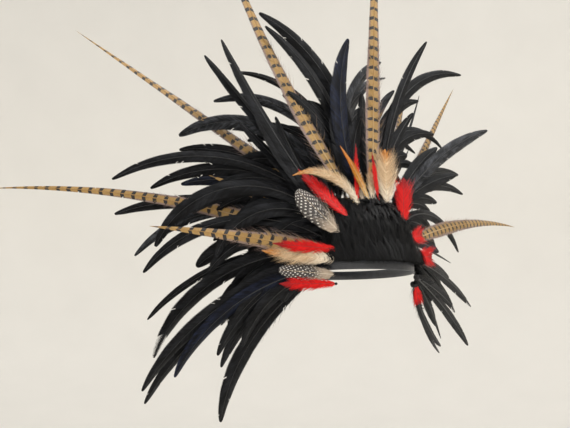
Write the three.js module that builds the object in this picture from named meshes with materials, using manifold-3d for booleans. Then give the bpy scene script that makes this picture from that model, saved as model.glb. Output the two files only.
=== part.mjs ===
// A feathered headdress: long cock feathers, barred pheasant tails and short coloured feathers
// that fan out behind a fur panel over the brow, on a plain backing panel and a headband.
// Millimetres, +Z up. The wearer faces -Y, with the right hand towards -X. The origin is the
// centre of the headband's opening, level with the band's lower rim.
//
// Everything is laid out over an ellipsoid head form. A point on it is given by its polar angle,
// measured back from the front of the brow, and by its seat angle around the fan: seat 0 is the
// right temple, seat 90 the top of the brow and seat 180 the left temple.

import * as THREE from 'three';
import { mergeVertices } from 'three/addons/utils/BufferGeometryUtils.js';
import Module from 'manifold-3d';

const wasm = await Module();
wasm.setup();

// Head form: the half axes of the ellipsoid inside the band.
const HEAD_HALF_BREADTH = 75;
const HEAD_HALF_LENGTH = 95;
const HEAD_HEIGHT = 110;

// Headband: a closed loop of coated fabric.
const BAND_HEIGHT = 12;
const BAND_CLEARANCE = 0.5;
const BAND_THICKNESS = 2;
const BAND_SEGMENTS = 64;

// The backing panel and the fur panel stand above the band, the fur in front of the backing.
const GAP = 0.3;
const FUR_GAP = 1;
const BACKING_LIFT = 0.5;
const BACKING_THICKNESS = 2;
const BACKING_TOP = 97;
const BACKING_REAR = 15;
const BACKING_GRID = { rows: 8, columns: 14 };

// The fur reaches back to FUR_POLAR, and at its top to FUR_TOP_HALF_ANGLE each side of the front.
// It is deepest low down in the middle, and thins towards its sides and its top.
const FUR_TOP = 86;
const FUR_POLAR = 50;
const FUR_TOP_HALF_ANGLE = 22;
const FUR_DEPTH = 10;
const FUR_SIDE_DEPTH = 4;
const FUR_SIDE_POWER = 4;
const FUR_TOP_THINNING = 0.4;
const FUR_TOP_POWER = 6;
const FUR_GRID = { rows: 8, columns: 12 };

// Feather rows: row -1 is planted close behind the fur and each further row lies behind it.
// Row 0 has the foremost long feathers, and the short coloured ones stand in front of it.
const FIRST_ROW_POLAR = 57;
const ROW_POLAR_STEP = 5;
const SEAT_LIFT = 5.5;
const KNOT_RADIUS = 4.5;
const KNOT_DETAIL = 1;

// Feather kinds. Widths are shares of the fullest width: quill at the base, fullest at the share
// of the length given. Thickness is that of the shaft, at the base and at the tip.
const KINDS = {
  coque: { stations: 9, quill: 0.24, fullest: 0.6, thickness: [2.2, 1.2], colour: 0x16181c },
  pheasant: { stations: 10, quill: 0.3, fullest: 0.28, thickness: [2.6, 1.2], colour: 0xb8935a },
  guinea: { stations: 6, quill: 0.2, fullest: 0.6, thickness: [2, 1.2], colour: 0x3a3a3c },
  cream: { stations: 6, quill: 0.3, fullest: 0.4, thickness: [2.2, 1.2], colour: 0xe6d3ae },
  golden: { stations: 6, quill: 0.3, fullest: 0.4, thickness: [2, 1.2], colour: 0xc98a2c },
  red: { stations: 6, quill: 0.3, fullest: 0.45, thickness: [2.2, 1.2], colour: 0xb5201f },
};

const FINISHES = {
  band: { color: 0x2b2c30, roughness: 0.45 },
  backing: { color: 0x141416, roughness: 0.95 },
  fur: { color: 0x0e0f11, roughness: 0.9 },
};
const FEATHER_ROUGHNESS = 0.6;

// The chart of the feathers, from the right temple over the brow to the left temple. Each line is
// node, seat, row, lean, curl, sweep, length, width, tip. Lean is the direction that the feather
// sets out in, as an angle around the fan, curl is how much that angle changes towards the tip,
// and sweep is how far the feather lies back from the plane of the brow. A tip of 1 tapers
// evenly to a point, and a larger one is blunter. Lines that share a node are one bound bunch.
const CHART = {
  coque: [
    ['coque_01', -4, 3.2, -43, -60, 34, 245, 24, 1.6],
    ['coque_02', -2, 2, -12, -60, 36, 140, 14, 3],
    ['coque_02', -1, 2.35, -4, -66, 38, 146, 13, 2.5],
    ['coque_02', -3, 1.65, -20, -50, 34, 130, 13, 3],
    ['coque_03', 2, 0, -8, -70, 32, 250, 22, 2.2],
    ['coque_04', 6, 1, -20, -54, 33.5, 302, 20, 2],
    ['coque_05', 8, 0, -13, -58, 31, 297, 22, 2],
    ['coque_06', 12, 2, 5, -92, 36, 276, 24, 2.2],
    ['coque_07', 15, 3, 4, -66, 39, 248, 11, 3],
    ['coque_08', 18, 3, 28, -82, 39, 166, 26, 3],
    ['coque_09', 22, 1, 38, -100, 31, 258, 18, 2],
    ['coque_10', 26, 2.8, 42, -100, 34, 262, 16, 2],
    ['coque_10', 26, 3, 38, -60, 37, 278, 20, 1.8],
    ['coque_11', 30, 0.2, 64, -140, 26, 274, 22, 2.5],
    ['coque_12', 40, 1.5, 57.5, -93, 26, 308, 17, 2],
    ['coque_12', 40, 1.9, 58, -94, 29, 253, 19, 2],
    ['coque_13', 32, 2, 58.5, -76, 32, 205, 18, 2.5],
    ['coque_14', 42, 3, 70.5, -78, 34, 228, 20, 2],
    ['coque_15', 35, 0, 58.5, 12, 18, 292, 22, 2],
    ['coque_15', 36, 0.4, 62, -6, 21, 284, 18, 2.8],
    ['coque_16', 50, 2, 94, -130, 24, 267, 24, 2.2],
    ['coque_17', 60, 2.6, 112, -133, 23, 260, 18, 2],
    ['coque_17', 60, 3, 122, -124, 21, 272, 12, 2],
    ['coque_18', 70, 1.2, 96, -62, 10, 264, 22, 2],
    ['coque_18', 71, 1.6, 110, -84, 13, 303, 24, 2],
    ['coque_19', 78, 0.6, 67, 46, 6, 226, 29, 1.6],
    ['coque_20', 82, 2.2, 80, 72, 18, 274, 20, 3],
    ['coque_20', 82, 2.6, 83, 79, 21, 278, 15, 2],
    ['coque_21', 94, 2, 94, 0, 10, 145, 20, 2],
    ['coque_21', 94, 2.4, 94, 45, 12, 188, 17, 2],
    ['coque_22', 102, 0, 99, 30, 6, 272, 16, 1.8],
    ['coque_23', 108, 1, 95.5, 79, 15, 374, 20, 1.8],
    ['coque_24', 114, 2, 92, 118, 20, 285, 15, 2],
    ['coque_24', 114, 2.4, 132, -8, 22, 264, 5, 1.5],
    ['coque_25', 122, 0, 138, 22, 19, 354, 22, 1.8],
    ['coque_26', 128, 1.4, 135, 44, 25, 268, 18, 3],
    ['coque_26', 129, 1, 139, 50, 24, 250, 16, 1.8],
    ['coque_27', 137, 0, 148, 76, 26, 222, 18, 3],
    ['coque_28', 153, 1, 176, 16, 28, 112, 16, 2],
    ['coque_28', 153, 1.4, 183, 4, 32, 205, 4, 1.5],
    ['coque_29', 169, 0, 184, 20, 29, 250, 16, 1.8],
    ['coque_29', 169, 0.4, 188, 20, 31, 165, 11, 2.5],
    ['coque_29', 170, 0.8, 188, 20, 33, 234, 17, 1.8],
    ['coque_30', 182, 0, 196, 14, 30, 268, 15, 2],
    ['coque_30', 182, 0.4, 205, 14, 33, 180, 7, 2],
    ['coque_31', 186, 1.6, 222, -22, 33, 194, 14, 2],
    ['coque_31', 186, 2, 220, -18, 35, 224, 7, 2],
  ],
  pheasant: [
    ['pheasant_1', 14, -0.4, 12, -6, 30, 230, 24, 1],
    ['pheasant_2', 20, 2, 26, -28, 35, 445, 20, 1],
    ['pheasant_3', 31, 1.2, 34, -8, 33, 170, 20, 1.4],
    ['pheasant_4', 47, 2, 46, -2, 33, 455, 22, 1],
    ['pheasant_5', 64, 0, 62, 16, 15, 470, 28, 1],
    ['pheasant_6', 90, 0, 94, 0, 3, 420, 24, 1],
    ['pheasant_7', 119, 2, 126, 4, 31, 460, 16, 1],
    ['pheasant_8', 133, 2.4, 137, 2, 28, 490, 16, 1],
    ['pheasant_9', 154, 0, 161, 18, 25, 430, 22, 1],
  ],
  guinea: [
    ['guinea_1', 30, -1, 45, 0, 14, 76, 36, 2.5],
    ['guinea_2', -4, -1, 6, 0, 31, 70, 22, 2.5],
    ['guinea_3', 74, -0.5, 88, 0, 10, 45, 11, 2.5],
  ],
  cream: [
    ['cream_1', 66, -1, 66, -94, 8, 108, 13, 1.4],
    ['cream_2', 106, -1, 92, 0, 4, 75, 28, 2.2],
    ['cream_3', 8, -1, 8, 0, 31, 92, 20, 1.6],
    ['cream_4', 86, -1, 88, 0, 6, 45, 11, 1.6],
  ],
  golden: [
    ['golden_1', 80, -1, 68, -18, 3, 80, 9, 1.8],
  ],
  red: [
    ['red_1', 47, -1, 49, 0, 22, 88, 14, 1.8],
    ['red_2', 66, -0.5, 92, 0, 4, 80, 7, 1.6],
    ['red_3', 93, -1.2, 80, 0, -2, 65, 6, 1.6],
    ['red_4', 134, -1, 98, 0, 8, 64, 20, 1.8],
    ['red_5', 150, -1, 165, 0, 25, 40, 18, 2.5],
    ['red_6', 166, -1, 175, 0, 20, 46, 20, 2.5],
    ['red_7', -11, -1, 0, 0, 31, 70, 12, 2],
    ['red_8', 16, -1, 5, 0, 25, 80, 12, 1.8],
    ['red_9', 190, -1, 245, 0, 20, 28, 10, 2],
  ],
};

const radians = THREE.MathUtils.degToRad;

// A point of the head form, raised by lift.
function headPoint(polar, seat, lift) {
  const out = Math.sin(radians(polar));
  return new THREE.Vector3(
    -(HEAD_HALF_BREADTH + lift) * out * Math.cos(radians(seat)),
    -(HEAD_HALF_LENGTH + lift) * Math.cos(radians(polar)),
    (HEAD_HEIGHT + lift) * out * Math.sin(radians(seat)),
  );
}

// Where a feather of the chart is planted.
function seatPoint([seat, row], lift = SEAT_LIFT) {
  return headPoint(FIRST_ROW_POLAR + ROW_POLAR_STEP * row, seat, lift);
}

// The direction at an angle around the fan, swept back from the plane of the brow.
function fanDirection(around, sweep) {
  const across = Math.cos(radians(sweep));
  return new THREE.Vector3(
    -Math.cos(radians(around)) * across,
    Math.sin(radians(sweep)),
    Math.sin(radians(around)) * across,
  );
}

// The frame of a feather at each share of its length: its shaft's centre, the direction its face
// looks in and the direction its width runs in. The face looks forward, square to the shaft.
function shaftFrames(kind, [seat, row, lean, curl, sweep, length]) {
  const frames = [];
  const centre = seatPoint([seat, row]);
  const step = length / kind.stations;
  for (let i = 0; i <= kind.stations; i += 1) {
    const along = fanDirection(lean + (curl * i) / kind.stations, sweep);
    const face = new THREE.Vector3(0, -1, 0).addScaledVector(along, along.y).normalize();
    const width = new THREE.Vector3().crossVectors(along, face);
    frames.push({ centre: centre.clone(), face, width });
    const halfway = fanDirection(lean + (curl * (i + 0.5)) / kind.stations, sweep);
    centre.addScaledVector(halfway, step);
  }
  return frames;
}

// The share of the fullest width that a feather has at a share of its length.
function widthShare(kind, share, tip) {
  if (share < kind.fullest) {
    const rise = Math.sin((Math.PI / 2) * (share / kind.fullest));
    return kind.quill + (1 - kind.quill) * rise;
  }
  const fall = (share - kind.fullest) / (1 - kind.fullest);
  return 1 - fall ** tip;
}

// A closed solid through rings of corners, each ring counter-clockwise about the way to the apex.
function loftToApex(rings, apex) {
  const sides = rings[0].length;
  const last = rings.length - 1;
  const points = [...rings.flat(), apex];
  const triangles = [];
  for (let k = 1; k < sides - 1; k += 1) {
    triangles.push(0, k + 1, k);
  }
  for (let i = 0; i < last; i += 1) {
    for (let k = 0; k < sides; k += 1) {
      const low = i * sides + k;
      const lowNext = i * sides + ((k + 1) % sides);
      triangles.push(low, lowNext, low + sides);
      triangles.push(lowNext, lowNext + sides, low + sides);
    }
  }
  for (let k = 0; k < sides; k += 1) {
    triangles.push(last * sides + k, last * sides + ((k + 1) % sides), rings.length * sides);
  }
  return closedGeometry(points, triangles);
}

function closedGeometry(points, triangles) {
  const coordinates = points.flatMap((point) => point.toArray());
  const geometry = new THREE.BufferGeometry();
  geometry.setAttribute('position', new THREE.Float32BufferAttribute(coordinates, 3));
  geometry.setIndex(triangles);
  geometry.computeVertexNormals();
  return geometry;
}

// One feather: a flat lens-shaped blade that is thickest along its shaft.
function featherGeometry(kind, row) {
  const [width, tip] = row.slice(-2);
  const frames = shaftFrames(kind, row);
  const apex = frames.pop().centre;
  const rings = frames.map((frame, i) => {
    const share = i / kind.stations;
    const halfWidth = (width * widthShare(kind, share, tip)) / 2;
    const halfThickness = THREE.MathUtils.lerp(...kind.thickness, share) / 2;
    return [
      frame.centre.clone().addScaledVector(frame.face, halfThickness),
      frame.centre.clone().addScaledVector(frame.width, halfWidth),
      frame.centre.clone().addScaledVector(frame.face, -halfThickness),
      frame.centre.clone().addScaledVector(frame.width, -halfWidth),
    ];
  });
  return loftToApex(rings, apex);
}

// The headband's loop, with the clearance that lets it pass over the head form.
function headbandGeometry() {
  const inner = BAND_CLEARANCE;
  const outer = inner + BAND_THICKNESS;
  const shape = new THREE.Shape();
  shape.absellipse(0, 0, HEAD_HALF_BREADTH + outer, HEAD_HALF_LENGTH + outer, 0, 2 * Math.PI);
  const opening = new THREE.Path();
  opening.absellipse(0, 0, HEAD_HALF_BREADTH + inner, HEAD_HALF_LENGTH + inner, 0, 2 * Math.PI);
  shape.holes.push(opening);
  return new THREE.ExtrudeGeometry(shape, {
    depth: BAND_HEIGHT,
    bevelEnabled: false,
    curveSegments: BAND_SEGMENTS,
  });
}

// A point on the head form at a height and at an angle round from the front, raised by lift.
function levelPoint(height, angle, lift) {
  const shrink = Math.sqrt(1 - (height / (HEAD_HEIGHT + lift)) ** 2);
  return new THREE.Vector3(
    (HEAD_HALF_BREADTH + lift) * shrink * Math.sin(angle),
    -(HEAD_HALF_LENGTH + lift) * shrink * Math.cos(angle),
    height,
  );
}

// A closed shell over the head form. halfAngle gives how far round it reaches at a height, and
// outerLift its outside at a height and a share of that reach, from -1 to 1.
function shellGeometry({ grid, low, high, innerLift, outerLift, halfAngle }) {
  const { rows, columns } = grid;
  const points = [];
  for (let i = 0; i <= rows; i += 1) {
    const height = THREE.MathUtils.lerp(low, high, i / rows);
    for (let j = 0; j <= columns; j += 1) {
      const share = (2 * j) / columns - 1;
      const angle = share * halfAngle(height);
      points.push(levelPoint(height, angle, outerLift(height, share)));
      points.push(levelPoint(height, angle, innerLift));
    }
  }
  const outside = (i, j) => 2 * (i * (columns + 1) + j);
  const inside = (i, j) => outside(i, j) + 1;
  const triangles = [];
  const quad = (a, b, c, d) => triangles.push(a, b, c, a, c, d);
  for (let i = 0; i < rows; i += 1) {
    for (let j = 0; j < columns; j += 1) {
      quad(outside(i, j), outside(i, j + 1), outside(i + 1, j + 1), outside(i + 1, j));
      quad(inside(i, j), inside(i + 1, j), inside(i + 1, j + 1), inside(i, j + 1));
    }
    quad(outside(i, 0), outside(i + 1, 0), inside(i + 1, 0), inside(i, 0));
    quad(outside(i, columns), inside(i, columns), inside(i + 1, columns), outside(i + 1, columns));
  }
  for (let j = 0; j < columns; j += 1) {
    quad(outside(0, j), inside(0, j), inside(0, j + 1), outside(0, j + 1));
    quad(outside(rows, j), outside(rows, j + 1), inside(rows, j + 1), inside(rows, j));
  }
  return closedGeometry(points, triangles);
}

// The plain panel that carries the feathers, from the band up and back to a level line.
function backingGeometry() {
  const lift = BACKING_LIFT + BACKING_THICKNESS;
  return shellGeometry({
    grid: BACKING_GRID,
    low: BAND_HEIGHT + GAP,
    high: BACKING_TOP,
    innerLift: BACKING_LIFT,
    outerLift: () => lift,
    halfAngle: (height) => {
      const level = HEAD_HALF_LENGTH * Math.sqrt(1 - (height / HEAD_HEIGHT) ** 2);
      return Math.acos(Math.min(BACKING_REAR / level, 1));
    },
  });
}

// The outer form of the fur panel over the brow, clear of the backing that it is glued to.
function furGeometry() {
  const base = BACKING_LIFT + BACKING_THICKNESS + FUR_GAP;
  return shellGeometry({
    grid: FUR_GRID,
    low: BAND_HEIGHT + GAP,
    high: FUR_TOP,
    innerLift: base,
    outerLift: (height, share) => {
      const depth = FUR_DEPTH - (FUR_DEPTH - FUR_SIDE_DEPTH) * share ** FUR_SIDE_POWER;
      return base + depth * (1 - FUR_TOP_THINNING * (height / FUR_TOP) ** FUR_TOP_POWER);
    },
    halfAngle: (height) => {
      const level = Math.sqrt(1 - (height / HEAD_HEIGHT) ** 2);
      const rim = Math.acos(Math.min(Math.cos(radians(FUR_POLAR)) / level, 1));
      return Math.max(rim, radians(FUR_TOP_HALF_ANGLE));
    },
  });
}

function toSolid(geometry) {
  return new wasm.Manifold(new wasm.Mesh({
    numProp: 3,
    vertProperties: geometry.getAttribute('position').array,
    triVerts: new Uint32Array(geometry.getIndex().array),
  }));
}

function toGeometry(solid) {
  const mesh = solid.getMesh();
  const geometry = new THREE.BufferGeometry();
  geometry.setAttribute('position', new THREE.BufferAttribute(mesh.vertProperties, 3));
  geometry.setIndex(new THREE.BufferAttribute(mesh.triVerts, 1));
  geometry.computeVertexNormals();
  return geometry;
}

// Feathers that are bound into one bunch at their quills by a round knot, clear of the backing.
function bunchGeometry(kind, rows) {
  const lift = BACKING_LIFT + BACKING_THICKNESS + GAP + KNOT_RADIUS;
  const middle = new THREE.Vector3();
  rows.forEach((row) => middle.add(seatPoint(row, lift)));
  middle.divideScalar(rows.length);
  const ball = new THREE.IcosahedronGeometry(KNOT_RADIUS, KNOT_DETAIL);
  ball.translate(...middle.toArray()).deleteAttribute('normal').deleteAttribute('uv');
  const knot = toSolid(mergeVertices(ball));
  const feathers = rows.map((row) => toSolid(featherGeometry(kind, row)));
  return toGeometry(feathers.reduce((bunch, feather) => bunch.add(feather), knot));
}

function addMesh(group, name, geometry, finish) {
  const material = new THREE.MeshStandardMaterial({ ...finish, metalness: 0 });
  const mesh = new THREE.Mesh(geometry, material);
  mesh.name = name;
  group.add(mesh);
}

const headdress = new THREE.Group();
addMesh(headdress, 'headband', headbandGeometry(), FINISHES.band);
addMesh(headdress, 'backing_panel', backingGeometry(), FINISHES.backing);
addMesh(headdress, 'fur_panel', furGeometry(), FINISHES.fur);
for (const [kindName, rows] of Object.entries(CHART)) {
  const kind = KINDS[kindName];
  const finish = { color: kind.colour, roughness: FEATHER_ROUGHNESS };
  const names = new Set(rows.map(([name]) => name));
  for (const name of names) {
    const members = rows.filter(([own]) => own === name).map((row) => row.slice(1));
    const single = members.length === 1;
    const geometry = single ? featherGeometry(kind, members[0]) : bunchGeometry(kind, members);
    addMesh(headdress, name, geometry, finish);
  }
}

export default headdress;
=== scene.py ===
"""The looks of a feathered headdress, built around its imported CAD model.

Every feather is rebuilt along the shaft of its CAD solid: a quill and two webs of barbs that
follow the solid's centre line, face and width. Metres, +Z up; the wearer faces -Y.
"""

import math

import bpy
import numpy as np
from mathutils import Matrix, Vector
from mathutils.bvhtree import BVHTree


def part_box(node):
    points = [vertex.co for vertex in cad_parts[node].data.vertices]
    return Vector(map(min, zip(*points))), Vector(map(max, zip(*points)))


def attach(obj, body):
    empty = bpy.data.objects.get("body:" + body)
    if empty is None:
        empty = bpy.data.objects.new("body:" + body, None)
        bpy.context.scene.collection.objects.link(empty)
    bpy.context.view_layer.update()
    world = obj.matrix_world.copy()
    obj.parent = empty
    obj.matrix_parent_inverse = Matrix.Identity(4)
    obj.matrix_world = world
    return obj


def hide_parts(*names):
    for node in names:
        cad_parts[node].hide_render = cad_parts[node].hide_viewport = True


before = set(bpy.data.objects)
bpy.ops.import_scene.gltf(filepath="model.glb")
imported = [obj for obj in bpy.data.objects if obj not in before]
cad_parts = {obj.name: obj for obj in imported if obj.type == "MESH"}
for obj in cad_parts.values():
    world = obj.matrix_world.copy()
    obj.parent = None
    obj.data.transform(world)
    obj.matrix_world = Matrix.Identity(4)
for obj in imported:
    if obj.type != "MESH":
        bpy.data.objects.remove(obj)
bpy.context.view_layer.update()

MM = 0.001
TINY = 1e-9
FORWARD = np.array([0.0, -1.0, 0.0])

# The camera looks up a little at the wearer's right front.
CAMERA_AZIMUTH = -35
CAMERA_ELEVATION = -4.5
CAMERA_DISTANCE = 1.1
CAMERA_AIM = (-0.0762, 0.0379, 0.0809)
CAMERA_LENS = 52.1
SENSOR_WIDTH = 36
CAMERA_CLIP = 60

# A pale round studio: a flat floor that curves up into a wall.
FLOOR_LEVEL = -0.62
FLOOR_CENTRE = 0.02
FLOOR_RADIUS = 4.2
CURVE_RADIUS = 1.6
CURVE_STEPS = 12
WALL_HEIGHT = 3.6
STUDIO_SIDES = 96
STUDIO_GRAIN = 3.0

# The lamps that look at the headdress: name, place, size, power and tint.
LAMPS = [
    ("key", (0.9, -2.0, 2.4), 1.6, 62, (1.0, 0.98, 0.95)),
    ("fill", (-2.4, -1.6, 1.2), 2.0, 18, (0.95, 0.97, 1.0)),
    ("top", (0.0, 0.6, 3.0), 2.2, 40, (1.0, 0.985, 0.965)),
]
LAMP_AIM = (0, 0, 0.15)
# The lamps that look out at the wall: how far out and how high they and their aims are.
WALL_LAMPS = 4
WALL_LAMP_OUT, WALL_LAMP_HEIGHT = 2.2, 2.8
WALL_AIM_OUT, WALL_AIM_HEIGHT = 5.5, 0.4
WALL_LAMP_SIZE, WALL_LAMP_POWER, WALL_LAMP_TINT = 2.0, 40, (1.0, 0.985, 0.965)
WORLD_STRENGTH = 0.85

# How each kind of feather is built. Sizes are in millimetres; shares run from base to tip.
#   stations  rings of its CAD solid from the base to the tip
#   spacing   distance between barbs along the shaft
#   rake      how far a barb runs forward for each unit that it runs out
#   camber    how far the edge of the web falls back, as a share of the half width
#   round     1 keeps the tip as pointed as the solid's, and more makes it rounder
#   full      under 1 keeps the web wide towards both ends
#   shaft     radius of the quill at its base and at the tip
#   ragged    how much the barbs differ in length
#   splits    tears in each web
KINDS = {
    "coque": dict(stations=9, spacing=1.3, rake=1.5, camber=0.34, round=1.35, full=0.62,
                  shaft=(0.95, 0.2), ragged=0.06, splits=3),
    "pheasant": dict(stations=10, spacing=1.3, rake=0.75, camber=0.2, round=1.0, full=0.9,
                     shaft=(1.0, 0.2), ragged=0.05, splits=3),
    "guinea": dict(stations=6, spacing=0.7, rake=0.8, camber=0.3, round=2.0, full=0.8,
                   shaft=(0.45, 0.15), ragged=0.06, splits=1),
    "cream": dict(stations=6, spacing=0.6, rake=1.8, camber=0.3, round=1.3, full=0.9,
                  shaft=(0.4, 0.12), ragged=0.3, splits=3),
    "golden": dict(stations=6, spacing=0.6, rake=1.8, camber=0.3, round=1.3, full=0.9,
                   shaft=(0.4, 0.12), ragged=0.2, splits=2),
    "red": dict(stations=6, spacing=0.6, rake=1.6, camber=0.3, round=1.3, full=0.9,
                shaft=(0.4, 0.12), ragged=0.3, splits=3),
}

# Loose barbs along the lower part of a feather: how many, the share of the length that they
# reach up to, how far they stand out as a share of the half width and at least in millimetres,
# and their width.
DOWN = {
    "coque": dict(count=90, upto=0.35, reach=1.3, least=8, width=0.7),
    "pheasant": dict(count=200, upto=0.5, reach=1.35, least=8, width=0.5),
    "guinea": dict(count=130, upto=0.45, reach=1.2, least=6, width=0.4),
    "cream": dict(count=400, upto=0.9, reach=1.3, least=3, width=0.6),
    "golden": dict(count=160, upto=0.6, reach=1.3, least=2, width=0.45),
    "red": dict(count=360, upto=0.9, reach=1.4, least=2, width=0.7),
}

# Shorter feathers that stand behind each cock feather and fill the fan out towards the head:
# the turn away from it in degrees, the share of its length and of its width, and how far back.
# The feathers at the ends of the fan have none.
FILLERS = [(7, 0.62, 1.0, 4), (-6, 0.54, 1.0, 6), (2, 0.34, 1.5, 8)]
UNFILLED = ("coque_01", "coque_02", "coque_28", "coque_31")

# Most cock feathers are black. Those whose node is named here are black, a dull navy or a dusty
# grey, one entry for each feather of the bunch. The nearest shade to a feather's tone is its own.
BLACK, NAVY, GREY = 0, 1, 2
SHADES = {
    "coque_03": [NAVY], "coque_10": [BLACK, GREY], "coque_13": [NAVY], "coque_16": [GREY],
    "coque_17": [GREY, BLACK], "coque_19": [NAVY], "coque_20": [GREY, GREY],
    "coque_21": [BLACK, GREY], "coque_25": [GREY], "coque_28": [NAVY, BLACK],
}

# Feathers whose tip has lost its web: the share of the length from which the barbs stand apart.
WHOLE = 1.0
FRAYED = {"coque_02": 0.82, "coque_06": 0.84, "coque_20": 0.82, "coque_29": 0.88}

# The chance in each feather: its tone if it has a shade and if it has none, how far it is rolled
# about its shaft and twisted along it in degrees, and a filler's turn and share of length.
SHADE_CHANCE = (-0.3, 0.3)
PLAIN_TONE = (0, 0.4)
ROLL = (-14, 14)
TWIST = (-12, 12)
FILLER_TURN = (-2, 2)
FILLER_LENGTH = (0.9, 1.1)


# ---------------------------------------------------------------- reading the CAD solids

SAME_PLACE = 0.01 * MM
RING_CORNERS = 4
# How wide a feather is in its bunch's knot, as a share of its width at the first ring outside.
KNOT_NARROWING = 0.6
# The shares of a shaft's length at which it is worked out.
SHARES = np.linspace(0, 1, 160)


def merged_mesh(node):
    """The node's corners with copies at one place merged, and its triangles."""
    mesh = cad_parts[node].data
    points = np.array([vertex.co for vertex in mesh.vertices])
    _, first, index = np.unique(np.round(points / SAME_PLACE).astype(int), axis=0,
                                return_index=True, return_inverse=True)
    index = index.ravel()
    mesh.calc_loop_triangles()
    triangles = [tuple(index[v] for v in triangle.vertices) for triangle in mesh.loop_triangles]
    return points[first], triangles


def neighbours_of(count, triangles):
    """The corners that share an edge with each corner."""
    near = [set() for _ in range(count)]
    for a, b, c in triangles:
        near[a] |= {b, c}
        near[b] |= {a, c}
        near[c] |= {a, b}
    return near


def rings_from(tip, near, most):
    """The rings of four corners met on the way down from a tip, as long as they are whole."""
    seen = {tip}
    level = {tip}
    rings = []
    while len(rings) < most:
        level = {n for corner in level for n in near[corner]} - seen
        if len(level) != RING_CORNERS:
            break
        rings.append(sorted(level))
        seen |= level
    return rings


def ring_frame(corners):
    """The centre of a ring of corners, and the arms to its farthest and its nearest corner."""
    centre = corners.mean(axis=0)
    arms = corners - centre
    reach = np.linalg.norm(arms, axis=1)
    return centre, arms[reach.argmax()], arms[reach.argmin()]


class Shaft:
    """The centre line of one feather with its face, side and half width, at each of SHARES."""

    def __init__(self, length, centre, along, face, side, half):
        self.length = length
        self.centre = centre
        self.along = along
        self.face = face
        self.side = side
        self.half = half

    def turn(self, angles):
        """Rolls the face about the shaft by an angle at each of SHARES."""
        cos = np.cos(angles)[:, None]
        sin = np.sin(angles)[:, None]
        face = self.face * cos + self.side * sin
        self.side = self.side * cos - self.face * sin
        self.face = face

    def at(self, share, values):
        """Values given at SHARES, read at any shares, and beyond the tip as at the tip."""
        flat = values if values.ndim > 1 else values[:, None]
        columns = [np.interp(share, SHARES, column) for column in flat.T]
        found = np.stack(columns, axis=-1)
        return found if values.ndim > 1 else found[..., 0]

    def filler(self, turn, length, width, back):
        """A shorter copy, turned about its base in the plane of its face and set back."""
        axis = Vector(self.face[len(SHARES) // 3])
        spin = np.array(Matrix.Rotation(math.radians(turn), 3, axis))
        base = self.centre[0]
        centre = base + (self.centre - base) @ spin.T * length
        centre = centre - self.face[0] * back * MM * np.sqrt(SHARES)[:, None]
        return Shaft(self.length * length, centre, self.along @ spin.T, self.face @ spin.T,
                     self.side @ spin.T, self.half * width)


def through(knots, values, places):
    """A smooth curve through values at knots, as Catmull and Rom draw it, read at places."""
    slopes = np.gradient(values, knots, axis=0)
    index = np.clip(np.searchsorted(knots, places, side="right") - 1, 0, len(knots) - 2)
    span = (knots[index + 1] - knots[index])[:, None]
    t = (places[:, None] - knots[index][:, None]) / span
    t2, t3 = t * t, t * t * t
    return ((2 * t3 - 3 * t2 + 1) * values[index] + (t3 - 2 * t2 + t) * span * slopes[index]
            + (3 * t2 - 2 * t3) * values[index + 1] + (t3 - t2) * span * slopes[index + 1])


def smooth_shaft(centres, faces, halves, spec):
    """The shaft through centres, faces and half widths that are given from base to tip."""
    steps = np.linalg.norm(np.diff(centres, axis=0), axis=1)
    knots = np.concatenate([[0], np.cumsum(steps)])
    length = knots[-1]
    knots = knots / length
    centre = through(knots, centres, SHARES)
    along = np.gradient(centre, SHARES, axis=0)
    along = along / np.linalg.norm(along, axis=1, keepdims=True)
    face = np.stack([np.interp(SHARES, knots, column) for column in faces.T], axis=1)
    face -= along * np.sum(face * along, axis=1, keepdims=True)
    face = face / np.linalg.norm(face, axis=1, keepdims=True)
    bulk = through(knots, halves[:, None] ** spec["round"], SHARES)[:, 0]
    half = np.maximum(bulk, 0) ** (1 / spec["round"])
    half = half.max() * (half / half.max()) ** spec["full"]
    return Shaft(length, centre, along, face, np.cross(along, face), half)


def feather_shaft(points, tip, rings, knot, spec):
    """The shaft of one feather, from its knot where its last rings are inside that."""
    centres, faces, halves = [points[tip]], [], [0.0]
    for ring in rings:
        centre, widest, thinnest = ring_frame(points[ring])
        centres.append(centre)
        faces.append(thinnest * np.sign(thinnest @ FORWARD))
        halves.append(np.linalg.norm(widest))
    if knot is not None and len(rings) < spec["stations"]:
        centres.append(knot)
        faces.append(faces[-1])
        halves.append(halves[-1] * KNOT_NARROWING)
    faces.insert(0, faces[0])
    return smooth_shaft(np.array(centres[::-1]), np.array(faces[::-1]), np.array(halves[::-1]),
                        spec)


def shafts_of(node, kind):
    """Every feather of a node, read from the rings of its solid, and the knot if it has one."""
    spec = KINDS[kind]
    points, triangles = merged_mesh(node)
    near = neighbours_of(len(points), triangles)
    found = []
    used = set()
    for corner in range(len(points)):
        if len(near[corner]) != RING_CORNERS:
            continue
        rings = rings_from(corner, near, spec["stations"])
        if len(rings) >= spec["stations"] // 2:
            found.append((corner, rings))
            used |= {corner}.union(*rings)
    rest = points[sorted(set(range(len(points))) - used)]
    knot = rest.mean(axis=0) if len(rest) else None
    return [feather_shaft(points, tip, rings, knot, spec) for tip, rings in found], knot


# ---------------------------------------------------------------- building meshes

# The margin round each column of a bake map.
BAKE_MARGIN = 0.03


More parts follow.
